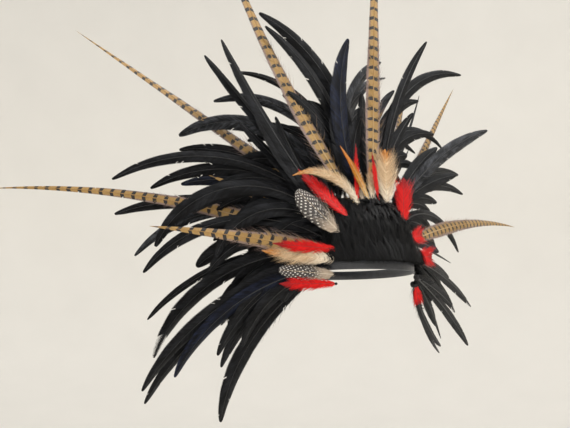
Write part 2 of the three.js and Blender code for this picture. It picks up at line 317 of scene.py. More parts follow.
class Mesh:
    """Points and faces gathered for one object, with what its materials read at each point.

    On a feather, place is the share across the web from -1 to 1, the distance along the shaft
    and the distance along the shaft of the barb's root, and trait is the share of the length,
    a random tone for each barb and one for each feather. On the fur, place is the share of the
    hair's length, and the middle of trait is a random tone for each hair. Every piece's bake
    map is laid out by the first two numbers of place.
    """

    def __init__(self):
        self.points, self.faces, self.slots = [], [], []
        self.place, self.trait, self.block = [], [], []
        self.count = 0

    def add(self, points, faces, place, trait, slot):
        self.block.append(np.full(len(points), len(self.block)))
        self.points.append(np.asarray(points, float))
        self.place.append(np.asarray(place, float))
        self.trait.append(np.asarray(trait, float))
        self.faces += [tuple(int(v) + self.count for v in face) for face in faces]
        self.slots += [slot] * len(faces)
        self.count += len(points)

    def finish(self, name, materials):
        mesh = bpy.data.meshes.new(name)
        mesh.from_pydata(np.concatenate(self.points), [], self.faces)
        for material in materials:
            mesh.materials.append(material)
        mesh.polygons.foreach_set("material_index", self.slots)
        mesh.polygons.foreach_set("use_smooth", [True] * len(mesh.polygons))
        for label, values in (("place", self.place), ("trait", self.trait)):
            layer = mesh.attributes.new(label, "FLOAT_VECTOR", "POINT")
            layer.data.foreach_set("vector", np.concatenate(values).astype(np.float32).ravel())
        self.add_bake_map(mesh)
        mesh.update()
        piece = bpy.data.objects.new(name, mesh)
        bpy.context.scene.collection.objects.link(piece)
        return piece

    def add_bake_map(self, mesh):
        """A flat layout for baking: one column of the picture for each block that was added."""
        place, block = np.concatenate(self.place), np.concatenate(self.block)
        flat = np.empty((len(place), 2))
        columns = len(self.block)
        for index in range(columns):
            chosen = block == index
            spread = place[chosen][:, :2]
            low, size = spread.min(axis=0), np.maximum(np.ptp(spread, axis=0), TINY)
            flat[chosen] = BAKE_MARGIN + (1 - 2 * BAKE_MARGIN) * (spread - low) / size
            flat[chosen, 0] = (flat[chosen, 0] + index) / columns
        layer = mesh.uv_layers.new(name="OFBake")
        corners = np.empty(len(mesh.loops), np.int32)
        mesh.loops.foreach_get("vertex_index", corners)
        layer.data.foreach_set("uv", flat[corners].astype(np.float32).ravel())


# A feather piece's materials, in their order. Other pieces have one material, the first.
WEB_SLOT, QUILL_SLOT, THREAD_SLOT = 0, 1, 2


def wander(rng, count, step):
    """Smooth noise from -1 to 1 that changes over about step places."""
    marks = rng.uniform(-1, 1, max(int(count / step), 1) + 3)
    return np.interp(np.linspace(0, len(marks) - 1, count), np.arange(len(marks)), marks)


# A web: the points of a barb by share of its length before its tip, the shares of the shaft
# where the first and last barbs leave it, and how many barbs at each end never tear.
COLUMNS = np.array([0.0, 0.22, 0.45, 0.68, 0.88])
WEB_START, WEB_END = 0.05, 0.995
LEAST_ROWS = 12
WHOLE_ENDS = 4
LEAST_ROOM = 1e-3
LEAST_HALF_WIDTH = 0.4
# A barb's reach depends on the half width this share of the length ahead of its root.
LOOK_AHEAD = 0.02
# How much the barbs between two tears, and barbs that drift along the web, differ.
TEAR_CHANGE = 0.05
DRIFT_CHANGE = 0.06
# After how many barbs a drift changes.
RAKE_DRIFT, LIFT_DRIFT, EXTENT_DRIFT, TONE_DRIFT = 14, 20, 9, 6


class Barbs:
    """The barbs of one web, a row each: where they leave the shaft and how they run."""

    def __init__(self, shaft, way, spec, rng):
        rows = max(int(shaft.length * (1 - WEB_START) / (spec["spacing"] * MM)), LEAST_ROWS)
        self.shaft, self.way, self.camber, self.rows = shaft, way, spec["camber"], rows
        self.roots = np.linspace(WEB_START, WEB_END, rows)
        self.torn = np.zeros(rows, bool)
        self.torn[rng.integers(WHOLE_ENDS, rows - WHOLE_ENDS, spec["splits"])] = True
        clump = np.cumsum(self.torn)
        clump_rake, clump_lift, _ = rng.uniform(-1, 1, (clump.max() + 1, 3)).T
        drift = wander(rng, rows, RAKE_DRIFT)
        self.rake = spec["rake"] * (1 + TEAR_CHANGE * clump_rake[clump] + DRIFT_CHANGE * drift)
        drift = wander(rng, rows, LIFT_DRIFT)
        self.lift = TEAR_CHANGE * clump_lift[clump] + DRIFT_CHANGE * drift
        loss = 0.5 + 0.5 * wander(rng, rows, EXTENT_DRIFT)
        self.extent = 1 - spec["ragged"] * loss * rng.uniform(0.4, 1, rows)
        self.tones = 0.6 * wander(rng, rows, TONE_DRIFT) + 0.4 * rng.uniform(-1, 1, rows)
        self.half = shaft.at(np.clip(self.roots + LOOK_AHEAD, 0, 1), shaft.half)

    def at(self, t, row):
        """Points at the share t of the barbs in some rows, and their shares of the shaft."""
        shaft = self.shaft
        room = np.maximum(1 - self.roots[row], LEAST_ROOM)
        half = np.maximum(self.half[row], LEAST_HALF_WIDTH * MM)
        ahead = self.rake[row] * half / shaft.length * t
        share = self.roots[row] + room * (1 - np.exp(-ahead / room))
        width = shaft.at(share, shaft.half) * t * self.extent[row]
        depth = self.camber * width * t + self.lift[row] * width * t
        points = (shaft.at(share, shaft.centre)
                  + shaft.at(share, shaft.side) * (self.way * width)[..., None]
                  - shaft.at(share, shaft.face) * depth[..., None])
        return points, share

    def faces(self, fray):
        """Faces between neighbouring barbs, open at each tear.

        Barbs that leave the shaft beyond the share fray stand apart as long triangles.
        """
        faces = []
        wide = len(COLUMNS)
        for row in range(self.rows - 1):
            here, ahead, tip = row * wide, (row + 1) * wide, self.rows * wide + row
            apart = self.roots[row] > fray
            torn = self.torn[row + 1]
            if apart:
                last = 1
            else:
                last = wide - 2 if torn else wide - 1
            for column in range(last):
                faces.append((here + column, here + column + 1, ahead + column + 1, ahead + column))
            if apart or not torn:
                faces.append((here + last, tip, ahead + last))
        return faces if self.way > 0 else [face[::-1] for face in faces]


def add_web(mesh, shaft, way, spec, rng, tone, fray):
    """One of a feather's two webs: barbs that leave the shaft forwards, joined side by side."""
    barbs = Barbs(shaft, way, spec, rng)
    every = np.arange(barbs.rows)
    row = np.concatenate([np.repeat(every, len(COLUMNS)), every])
    t = np.concatenate([np.tile(COLUMNS, barbs.rows), np.ones(barbs.rows)])
    points, share = barbs.at(t, row)
    place = np.stack([way * t, share * shaft.length, barbs.roots[row] * shaft.length], 1)
    trait = np.stack([share, barbs.tones[row], np.full(len(share), tone)], 1)
    mesh.add(points, barbs.faces(fray), place, trait, WEB_SLOT)


# The quill ends at this share of the feather, and is at most this share of the web's half
# width and at least this radius in millimetres.
SHAFT_SIDES = 6
SHAFT_RINGS = 48
QUILL_REACH = 0.97
QUILL_SHARE = 0.4
QUILL_LEAST = 0.12


def add_quill(mesh, shaft, spec, tone):
    """The feather's shaft: a tube that thins towards the tip."""
    share = np.linspace(0, QUILL_REACH, SHAFT_RINGS)
    radius = np.interp(share, [0, 1], spec["shaft"]) * MM
    room = np.maximum(shaft.at(share, shaft.half) * QUILL_SHARE, QUILL_LEAST * MM)
    radius = np.minimum(radius, room)
    centre = shaft.at(share, shaft.centre)
    face, side = shaft.at(share, shaft.face), shaft.at(share, shaft.side)
    rings = []
    for k in range(SHAFT_SIDES):
        angle = 2 * math.pi * k / SHAFT_SIDES
        rings.append(centre + radius[:, None] * (math.cos(angle) * side + math.sin(angle) * face))
    points = np.stack(rings, axis=1).reshape(-1, 3)
    faces = []
    for ring in range(SHAFT_RINGS - 1):
        for k in range(SHAFT_SIDES):
            low, next_low = ring * SHAFT_SIDES + k, ring * SHAFT_SIDES + (k + 1) % SHAFT_SIDES
            faces.append((low, next_low, next_low + SHAFT_SIDES, low + SHAFT_SIDES))
    faces.append(tuple(range(SHAFT_SIDES))[::-1])
    faces.append(tuple(range((SHAFT_RINGS - 1) * SHAFT_SIDES, SHAFT_RINGS * SHAFT_SIDES)))
    along = np.repeat(share, SHAFT_SIDES)
    place = np.stack([np.zeros_like(along), along * shaft.length, along * shaft.length], 1)
    trait = np.stack([along, np.zeros_like(along), np.full_like(along, tone)], 1)
    mesh.add(points, faces, place, trait, QUILL_SLOT)


# A ribbon's pairs of points by share of its length, and the power by which it tapers.
RIBBON = np.array([0.0, 0.3, 0.6, 0.85, 1.0])
RIBBON_TAPER = 1.5


def add_ribbons(mesh, roots, bends, tips, width, normals, place, trait):
    """Thin tapering barbs or hairs, each bent from its root past a point to its tip.

    place is a function that gives the places of all ribbons at the shares of their length.
    """
    t = RIBBON[None, :, None]
    line = ((1 - t) ** 2 * roots[:, None] + 2 * t * (1 - t) * bends[:, None]
            + t ** 2 * tips[:, None])
    across = np.cross(tips - roots, normals)
    across /= np.maximum(np.linalg.norm(across, axis=1, keepdims=True), TINY)
    taper = (width * MM / 2 * (1 - RIBBON ** RIBBON_TAPER))[None, :, None]
    left = line - across[:, None] * taper
    right = line + across[:, None] * taper
    steps = len(RIBBON)
    count = len(roots)
    points = np.stack([left, right], axis=2).reshape(count, 2 * steps, 3)[:, :2 * steps - 1]
    start = np.arange(count) * (2 * steps - 1)
    faces = []
    for k in range(steps - 2):
        a = start + 2 * k
        faces += np.stack([a, a + 1, a + 3, a + 2], axis=1).tolist()
    a = start + 2 * (steps - 2)
    faces += np.stack([a, a + 1, a + 2], axis=1).tolist()
    share = np.repeat(RIBBON, 2)[:2 * steps - 1]
    trait = np.repeat(trait, 2 * steps - 1, axis=0)
    mesh.add(points.reshape(-1, 3), faces, place(share).reshape(-1, 3), trait, WEB_SLOT)


# Down: the power that gathers it towards its upper end, how its reach varies, how far it runs
# forward and lifts for each unit that it stands out, and the reach, at most 1, that it has at
# its lower end and loses on the way up.
DOWN_GATHER = 0.8
DOWN_REACH = (0.7, 1.2)
DOWN_FORWARD = (0.8, 2.2)
DOWN_LIFT = (-0.5, 0.35)
DOWN_START, DOWN_LOSS = 1.25, 0.4


def add_down(mesh, shaft, way, down, rng, tone):
    """Loose soft barbs that stand off one side of the lower part of a feather."""
    count = down["count"] // 2
    share = down["upto"] * rng.uniform(0, 1, count) ** DOWN_GATHER
    half = shaft.at(share + WEB_START, shaft.half) * down["reach"]
    half = np.maximum(half, down["least"] * MM) * rng.uniform(*DOWN_REACH, count)
    half = half * np.clip(DOWN_START - share / down["upto"] * DOWN_LOSS, 0, 1)
    along, face, side = (shaft.at(share, v) for v in (shaft.along, shaft.face, shaft.side))
    root = shaft.at(share, shaft.centre)
    forward = rng.uniform(*DOWN_FORWARD, (count, 1))
    lift = rng.uniform(*DOWN_LIFT, (count, 1))
    reach = half[:, None]
    bend = root + reach * (0.55 * way * side + 0.25 * forward * along + 0.1 * face)
    tip = root + reach * (way * side + forward * along + lift * face)
    trait = np.stack([share, rng.uniform(-1, 1, count), np.full(count, tone)], axis=1)

    def place(t):
        start = (share * shaft.length)[:, None]
        out = np.repeat(way * t[None, :], count, axis=0)
        return np.stack([out, start + t[None, :] * reach, np.repeat(start, len(t), 1)], axis=2)

    add_ribbons(mesh, root, bend, tip, down["width"], face, place, trait)


# A binding: how it is divided, its turns of thread, how far each one stands out as a share of
# the radius, how long the ball is for its width, and the share of a half turn left open.
BINDING_RINGS, BINDING_SIDES = 18, 14
BINDING_TURNS = 7
BINDING_RIDGE = 0.05
BINDING_STRETCH = 1.15
BINDING_OPEN = 0.04
# A direction that no binding's axis has.
ASKEW = (0.3, 0.5, 0.81)


def add_binding(mesh, centre, radius, axis):
    """A ball of thread wound round an axis, with a ridge for each turn."""
    rings, sides = BINDING_RINGS, BINDING_SIDES
    axis = axis / np.linalg.norm(axis)
    first = np.cross(axis, ASKEW)
    first /= np.linalg.norm(first)
    second = np.cross(axis, first)
    points, faces = [], []
    for ring in range(rings + 1):
        polar = math.pi * (BINDING_OPEN + (1 - 2 * BINDING_OPEN) * ring / rings)
        ridge = radius * (1 + BINDING_RIDGE * math.sin(2 * math.pi * BINDING_TURNS * ring / rings))
        rise = BINDING_STRETCH * math.cos(polar) * axis
        for side in range(sides):
            angle = 2 * math.pi * side / sides
            out = math.cos(angle) * first + math.sin(angle) * second
            points.append(centre + ridge * (math.sin(polar) * out + rise))
    for ring in range(rings):
        for side in range(sides):
            low, low_next = ring * sides + side, ring * sides + (side + 1) % sides
            faces.append((low, low + sides, low_next + sides, low_next))
    faces.append(tuple(range(sides)))
    faces.append(tuple(range(rings * sides, (rings + 1) * sides))[::-1])
    place = [(side / sides, ring / rings, 0.0)
             for ring in range(rings + 1) for side in range(sides)]
    mesh.add(points, faces, place, np.zeros((len(points), 3)), THREAD_SLOT)


# ---------------------------------------------------------------- materials

class Shader:
    """A material's node tree, built from short calls."""

    def __init__(self, name):
        self.material = bpy.data.materials.new(name)
        self.material.use_nodes = True
        self.tree = self.material.node_tree
        self.principled = self.tree.nodes["Principled BSDF"]

    def node(self, kind, inputs=None, **settings):
        """A new node with its settings, and its inputs linked or set."""
        node = self.tree.nodes.new("ShaderNode" + kind)
        for key, value in settings.items():
            setattr(node, key, value)
        for key, value in (inputs or {}).items():
            self.put(node.inputs[key], value)
        return node

    def put(self, socket, value):
        if isinstance(value, bpy.types.NodeSocket):
            self.tree.links.new(value, socket)
        else:
            socket.default_value = value

    def math(self, operation, a, b=0.0):
        node = self.node("Math", operation=operation)
        self.put(node.inputs[0], a)
        self.put(node.inputs[1], b)
        return node.outputs[0]

    def plus(self, a, b):
        return self.math("ADD", a, b)

    def minus(self, a, b):
        return self.math("SUBTRACT", a, b)

    def times(self, a, b):
        return self.math("MULTIPLY", a, b)

    def mix(self, factor, a, b, blend="MIX"):
        """Colour a where the factor is 0 and b where it is 1."""
        node = self.node("Mix", data_type="RGBA", blend_type=blend)
        self.put(node.inputs[0], factor)
        self.put(node.inputs[6], a)
        self.put(node.inputs[7], b)
        return node.outputs[2]

    def ramp(self, value, low, high):
        """0 below low, 1 above high, and smooth in between."""
        node = self.node("MapRange", interpolation_type="SMOOTHSTEP")
        self.put(node.inputs[0], value)
        self.put(node.inputs[1], low)
        self.put(node.inputs[2], high)
        return node.outputs[0]

    def noise(self, vector, scale, detail=3.0):
        """Soft random values from 0 to 1."""
        node = self.node("TexNoise", {"Vector": vector, "Scale": scale, "Detail": detail})
        return node.outputs["Fac"]

    def attribute(self, name):
        """The three numbers of place or trait."""
        node = self.node("Attribute", attribute_name=name)
        split = self.node("SeparateXYZ", {"Vector": node.outputs["Vector"]})
        return split.outputs[0], split.outputs[1], split.outputs[2]

    def vector(self, x, y, z):
        return self.node("CombineXYZ", {"X": x, "Y": y, "Z": z}).outputs[0]

    def finish(self, tint, roughness, height=None, strength=0.3, distance=0.2 * MM, **sockets):
        """The material, with a bump if it has a height. The last sockets are set by their names."""
        self.put(self.principled.inputs["Base Color"], tint)
        self.put(self.principled.inputs["Roughness"], roughness)
        if height is not None:
            bump = self.node("Bump", {"Height": height, "Strength": strength,
                                      "Distance": distance})
            self.put(self.principled.inputs["Normal"], bump.outputs[0])
        for key, value in sockets.items():
            self.put(self.principled.inputs[key.replace("_", " ")], value)
        return self.material


def colour(red, green, blue):
    """A colour given as sRGB numbers from 0 to 255, as the shader wants it."""
    return (*[((c / 255 + 0.055) / 1.055) ** 2.4 if c > 10 else c / 255 / 12.92
              for c in (red, green, blue)], 1.0)


def barb_lines(shader, root, kind):
    """A height that has one ridge for each barb."""
    turns = 2 * math.pi / (KINDS[kind]["spacing"] * MM)
    return shader.math("SINE", shader.times(root, turns))


def barb_streaks(shader, across, root, feather, per_metre, scale=1.5):
    """Noise that is long across the web and short along it, and so follows the barbs."""
    along = shader.times(root, per_metre)
    return shader.noise(shader.vector(across, along, feather), scale)


def coque_material():
    """Black, navy or grey, with fine streaks along the barbs and broad ones along the web, partly
    uneven tone and partly painted sheen.
    """
    shader = Shader("coque_web")
    across, along, root = shader.attribute("place")
    _, tone, feather = shader.attribute("trait")
    # The lighter streaks are partly the feather's own uneven tone and partly a painted sheen along
    # the barbs.
    streak = barb_streaks(shader, shader.times(across, 1.5), root, feather, 260.0, 1.0)
    broad = barb_streaks(shader, across, along, feather, 22.0, 1.6)
    light = shader.plus(shader.times(streak, 0.5), shader.times(broad, 0.6))
    light = shader.ramp(shader.plus(light, shader.times(tone, 0.08)), 0.4, 0.9)
    black = shader.mix(light, colour(3, 3, 4), colour(40, 41, 45))
    navy = shader.mix(light, colour(4, 5, 12), colour(34, 42, 66))
    grey = shader.mix(light, colour(16, 17, 19), colour(84, 86, 92))
    tint = shader.mix(shader.math("GREATER_THAN", feather, NAVY - 0.5), black, navy)
    tint = shader.mix(shader.math("GREATER_THAN", feather, GREY - 0.5), tint, grey)
    rough = shader.plus(0.34, shader.times(streak, 0.22))
    return shader.finish(tint, rough, barb_lines(shader, root, "coque"), 0.35,
                         Specular_IOR_Level=0.12)


def quill_material(name, base, tip, roughness=0.35):
    """A shaft that changes colour towards its tip, with faint rings."""
    shader = Shader(name)
    share, _, _ = shader.attribute("trait")
    _, along, _ = shader.attribute("place")
    grain = shader.noise(shader.vector(0.0, shader.times(along, 900.0), 0.0), 1.0)
    tint = shader.mix(shader.ramp(share, 0.0, 0.5), base, tip)
    tint = shader.mix(shader.times(grain, 0.15), tint, colour(20, 16, 12))
    return shader.finish(tint, roughness, grain, 0.15)


# The distance between a pheasant feather's bars. A guinea feather's spots: the distance between
# two rows, and the columns from the shaft to the edge. In millimetres.
BAR_PERIOD = 14.5
SPOT_ROW = 4.6
SPOT_COLUMNS = 3.2


def pheasant_bars(shader, outward, along, tone, feather, right, share):
    """Where the bars are, and the thin lines that run on from them to the edge."""
    shift = shader.times(right, shader.times(feather, 0.45))
    wobble = shader.times(shader.noise(shader.vector(0.0, along, feather), 60.0), 0.3)
    phase = shader.plus(shader.math("DIVIDE", along, BAR_PERIOD * MM), shift)
    phase = shader.plus(phase, shader.times(outward, 0.16))
    phase = shader.plus(phase, wobble)
    swing = shader.math("ABSOLUTE", shader.minus(shader.math("FRACT", phase), 0.5))
    margin = shader.plus(0.86, shader.times(shader.ramp(share, 0.4, 0.8), 0.8))
    reach = shader.ramp(outward, margin, shader.minus(margin, 0.4))
    near_shaft = shader.ramp(outward, 0.03, 0.09)
    wide = shader.times(shader.times(reach, near_shaft), 0.17)
    wide = shader.plus(wide, shader.times(tone, 0.012))
    bar = shader.ramp(shader.minus(wide, swing), -0.015, 0.01)
    thread = shader.ramp(shader.minus(0.035, swing), -0.02, 0.02)
    return bar, shader.times(thread, shader.ramp(outward, 0.2, 0.4))


def pheasant_material():
    """Tan with dark bars on each side of the shaft and a mauve edge on the lower part."""
    shader = Shader("pheasant_web")
    across, along, root = shader.attribute("place")
    share, tone, feather = shader.attribute("trait")
    outward = shader.math("ABSOLUTE", across)
    right = shader.math("GREATER_THAN", across, 0.0)
    bar, thread = pheasant_bars(shader, outward, along, tone, feather, right, share)
    streak = barb_streaks(shader, across, root, feather, 400.0)
    tan = shader.mix(streak, colour(134, 102, 50), colour(184, 146, 80))
    mauve = shader.mix(streak, colour(96, 78, 72), colour(150, 126, 118))
    fringe = shader.times(shader.ramp(outward, 0.5, 0.8), shader.ramp(share, 0.85, 0.45))
    tint = shader.mix(fringe, tan, mauve)
    tint = shader.mix(shader.times(thread, 0.45), tint, colour(96, 48, 30))
    tint = shader.mix(bar, tint, colour(22, 16, 14))
    return shader.finish(tint, 0.5, barb_lines(shader, root, "pheasant"), 0.35, Sheen_Weight=0.1)


def guinea_material():
    """Black with rows of white spots, each row half a column off the last, and pale down."""
    shader = Shader("guinea_web")
    across, _, root = shader.attribute("place")
    share, _, _ = shader.attribute("trait")
    row = shader.math("DIVIDE", root, SPOT_ROW * MM)
    odd = shader.times(shader.math("FLOORED_MODULO", shader.math("FLOOR", row), 2.0), 0.5)
    column = shader.plus(shader.times(across, SPOT_COLUMNS), odd)
    spot = shader.vector(shader.minus(shader.math("FRACT", column), 0.5),
                         shader.minus(shader.math("FRACT", row), 0.5), 0.0)
    length = shader.node("VectorMath", {0: spot}, operation="LENGTH").outputs["Value"]
    streak = barb_streaks(shader, across, root, 0.0, 500.0)
    dark = shader.mix(streak, colour(14, 13, 14), colour(60, 56, 54))
    down = shader.mix(streak, colour(140, 120, 104), colour(214, 196, 172))
    tint = shader.mix(shader.ramp(length, 0.5, 0.38), colour(66, 58, 54), dark)
    tint = shader.mix(shader.ramp(length, 0.25, 0.18), tint, colour(226, 220, 210))
    tint = shader.mix(shader.ramp(share, 0.4, 0.16), tint, down)
    return shader.finish(tint, 0.55, barb_lines(shader, root, "guinea"), 0.3)


def hackle_material(name, base, middle, tip, tip_from=0.6):
    """A short soft feather that changes colour from its base to its tip."""
    shader = Shader(name)
    across, _, root = shader.attribute("place")
    share, tone, feather = shader.attribute("trait")
    streak = barb_streaks(shader, across, root, feather, 500.0)
    level = shader.plus(share, shader.times(tone, 0.06))
    tint = shader.mix(shader.ramp(level, 0.1, 0.4), base, middle)
    tint = shader.mix(shader.ramp(level, tip_from, min(tip_from + 0.3, 0.99)), tint, tip)
    dark = shader.mix(1.0, tint, colour(205, 190, 180), "MULTIPLY")
    tint = shader.mix(shader.ramp(streak, 0.65, 0.3), tint, dark)
    return shader.finish(tint, 0.5, barb_lines(shader, root, "red"), 0.15, Sheen_Weight=0.08,
                         Specular_IOR_Level=0.25)


# ---------------------------------------------------------------- pieces

def stand_in(piece, node):
    """Puts a piece in the place of its CAD node, on the one body."""
    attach(piece, "root")
    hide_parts(node)


def seed_of(name):
    """The same number for the same name on every run."""
    return sum((i + 1) * ord(letter) for i, letter in enumerate(name))


def add_feather(mesh, shaft, kind, rng, tone, fray=WHOLE):
    """A feather's webs, down and quill."""
    spec = KINDS[kind]
    for way in (-1, 1):
        add_web(mesh, shaft, way, spec, rng, tone, fray)
        add_down(mesh, shaft, way, DOWN[kind], rng, tone)
    add_quill(mesh, shaft, spec, tone)


def add_fillers(mesh, shaft, kind, rng):
    """The shorter feathers behind one feather."""
    for turn, length, width, back in FILLERS:
        turn += rng.uniform(*FILLER_TURN)
        length *= rng.uniform(*FILLER_LENGTH)
        filler = shaft.filler(turn, length, width, back)
        add_feather(mesh, filler, kind, rng, rng.uniform(*PLAIN_TONE))


def tone_of(node, index, rng):
    """One feather's tone: its shade if it has one, with some chance."""
    if node in SHADES:
        return SHADES[node][index] + rng.uniform(*SHADE_CHANCE)
    return rng.uniform(*PLAIN_TONE)


# The thread that binds a single quill, and the knot of a bunch. In millimetres.
BINDING_RADIUS = 1.7
KNOT_RADIUS = 3.8


def build_feather(node, kind, materials):
    """One piece for a CAD feather node, or for all the feathers of its bunch."""
    shafts, knot = shafts_of(node, kind)
    bunch = knot is not None and len(shafts) > 1
    rng = np.random.default_rng(seed_of(node))
    mesh = Mesh()
    for index, shaft in enumerate(shafts):
        tone = tone_of(node, index, rng)
        shaft.turn(np.radians(rng.uniform(*ROLL) + rng.uniform(*TWIST) * SHARES))
        add_feather(mesh, shaft, kind, rng, tone, FRAYED.get(node, WHOLE))
        if kind == "coque" and node not in UNFILLED:
            add_fillers(mesh, shaft, kind, rng)
        if not bunch:
            add_binding(mesh, shaft.centre[1], BINDING_RADIUS * MM, shaft.along[0])
    if bunch:
        add_binding(mesh, knot, KNOT_RADIUS * MM, shafts[0].along[0])
    stand_in(mesh.finish(node + "_feather", materials), node)


def thread_material():
    """Black thread."""
    shader = Shader("binding_thread")
    fibre = shader.noise(shader.node("TexCoord").outputs["Object"], 2200.0)
    tint = shader.mix(fibre, colour(10, 10, 11), colour(34, 33, 34))
    return shader.finish(tint, 0.8, fibre, 0.4)


def feather_materials():
    """The materials of each kind of feather: its web, its quill and the thread."""
    thread = thread_material()
    dark_quill = quill_material("dark_quill", colour(30, 28, 28), colour(12, 12, 13), 0.3)
    pale_quill = quill_material("pale_quill", colour(188, 160, 116), colour(160, 122, 66))
    white_quill = quill_material("white_quill", colour(225, 215, 195), colour(190, 170, 140))
    red_quill = quill_material("red_quill", colour(170, 40, 30), colour(120, 16, 16))
    return {
        "coque": [coque_material(), dark_quill, thread],
        "pheasant": [pheasant_material(), pale_quill, thread],
        "guinea": [guinea_material(), white_quill, thread],
        "cream": [hackle_material("cream_web", colour(240, 228, 206), colour(222, 194, 156),
                                  colour(206, 138, 62), 0.62), white_quill, thread],
        "golden": [hackle_material("golden_web", colour(226, 190, 130), colour(206, 140, 48),
                                   colour(196, 118, 30), 0.4), white_quill, thread],
        "red": [hackle_material("red_web", colour(232, 18, 12), colour(222, 6, 6),
                                colour(158, 6, 12)), red_quill, thread],
    }


def build_feathers():
    """Every feather node's piece."""
    materials = feather_materials()
    for node in sorted(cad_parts):
        kind = node.split("_")[0]
        if kind in KINDS:
            build_feather(node, kind, materials[kind])


# The fur: tufts of hair whose tips lie on the solid's outside, with more on the backing beside
# it. In millimetres, with shares of a hair's length where so named.
FUR_SEED = 7
FUR_TUFTS = 560
FUR_HAIRS = 22
FUR_LENGTH = (20, 34)
FUR_HAIR_WIDTH = 0.45
FUR_ROOT_SPREAD = 2.2
FUR_TIP_SPREAD = 0.55
FUR_TIP_CHANCE = (-7, 2)
FUR_SIDEWAYS_SHARE = 0.16
FUR_LIFT = (-3.5, 2.0)
FUR_BEND_AT, FUR_BEND_SHARE = 0.55, 0.16
# The tufts on the backing: how far off it, and how far forward.
FUR_OUTER_TUFTS = 360
FUR_OUTER_LIFT = 4
FUR_OUTER_FRONT = -28
# The level that the hairs fan out from, and how far they may hang over the band.
FUR_FAN_CENTRE = -45
FUR_LEAST_RISE = 0.3
FUR_ROOM = 2
FUR_OVERLAP = 2.5
# Where rays towards the skin start outside the fur.
FUR_RAY_START = 30
# The crest: the share of the fur's height where it starts, and how much longer its tufts are.
FUR_CREST_FROM = 0.62
FUR_CREST = (-6, 20)
# Locks: broader pointed strands from within the fur, on tufts well up the crest.
FUR_LOCKS = 4
FUR_LOCK_FROM = 0.45
FUR_LOCK_WIDTH = 2.0
FUR_LOCK_BELOW, FUR_LOCK_INSIDE = 16, 2
FUR_LOCK_REACH = (-12, 10)
FUR_LOCK_SIDEWAYS = 2
FUR_LOCK_BEND = 1.5
# How squarely a face must look away from the head to carry fur.
OUTWARD = 0.3


def sample_outside(points, triangles, count, rng):
    """Random places on the side of a shell that looks away from the head, with their normals."""
    corners = points[np.array(triangles)]
    normals = np.cross(corners[:, 1] - corners[:, 0], corners[:, 2] - corners[:, 0])
    area = np.linalg.norm(normals, axis=1)
    normals = normals / np.maximum(area, TINY)[:, None]
    middle = corners.mean(axis=1)
    outward = np.sum(normals * middle, axis=1) / np.linalg.norm(middle, axis=1) > OUTWARD
    chosen = rng.choice(np.flatnonzero(outward), count, p=area[outward] / area[outward].sum())
    a, b = np.sqrt(rng.uniform(0, 1, count)), rng.uniform(0, 1, count)
    weights = np.stack([1 - a, a * (1 - b), a * b], axis=1)
    return np.einsum("nk,nkj->nj", weights, corners[chosen]), normals[chosen]


def fan_directions(tips, normals):
    """The way that hairs lie at some places: out from one level, and flat on the surface."""
    level = np.zeros(len(tips))
    fan = np.stack([tips[:, 0], level, tips[:, 2] - FUR_FAN_CENTRE * MM], axis=1)
    fan /= np.linalg.norm(fan, axis=1, keepdims=True)
    fan -= normals * np.sum(fan * normals, axis=1, keepdims=True)
    return fan / np.linalg.norm(fan, axis=1, keepdims=True)


def onto_skin(roots, normals, tree):
    """Roots moved straight in to the solid's inner side, where it is under them."""
    moved = roots.copy()
    for i, root in enumerate(roots):
        inward = Vector(-normals[i])
        skin = tree.ray_cast(Vector(root + normals[i] * FUR_RAY_START * MM), inward)[0]
        if skin is not None:
            inner = tree.ray_cast(skin - Vector(normals[i]) * MM, inward)[0]
            moved[i] = inner if inner is not None else skin
    return moved


class Tufts:
    """The fur's tufts: where each starts and ends, how it lies and how far up the crest it is."""

    def __init__(self, rng):
        points, triangles = merged_mesh("fur_panel")
        self.low, top = points[:, 2].min(), points[:, 2].max()
        tips, normals = sample_outside(points, triangles, FUR_TUFTS, rng)
        outer, outer_normals = sample_outside(*merged_mesh("backing_panel"), FUR_OUTER_TUFTS, rng)
        ahead = outer[:, 1] < FUR_OUTER_FRONT * MM
        outer = outer[ahead] + outer_normals[ahead] * FUR_OUTER_LIFT * MM
        tips = np.concatenate([tips, outer])
        normals = np.concatenate([normals, outer_normals[ahead]])
        fan = fan_directions(tips, normals)
        count = len(tips)
        length = rng.uniform(*FUR_LENGTH, count) * MM
        room = (tips[:, 2] - self.low) / np.maximum(fan[:, 2], FUR_LEAST_RISE) + FUR_ROOM * MM
        length = np.minimum(length, room)
        self.roots = onto_skin(tips - fan * length[:, None], normals,
                               BVHTree.FromPolygons(points.tolist(), triangles))
        crest = (tips[:, 2] - FUR_CREST_FROM * top) / ((1 - FUR_CREST_FROM) * top)
        self.crest = np.clip(crest, 0, 1)
        grow = self.crest * rng.uniform(*FUR_CREST, count) * MM
        aside = rng.normal(0, FUR_SIDEWAYS_SHARE, (count, 1)) * length[:, None]
        lifted = normals * rng.uniform(*FUR_LIFT, (count, 1)) * MM
        self.tips = tips + fan * grow[:, None] + np.cross(normals, fan) * aside + lifted
        self.normals, self.fan, self.length = normals, fan, length


def add_strands(mesh, start, bend, end, width, normals, rng):
    """Hairs or locks, each with a random tone."""
    count = len(start)
    trait = np.stack([np.zeros(count), rng.uniform(-1, 1, count), rng.uniform(0, 1, count)], 1)

    def place(t):
        return np.repeat(np.stack([t, t, t], axis=1)[None], count, axis=0)

    add_ribbons(mesh, start, bend, end, width, normals, place, trait)


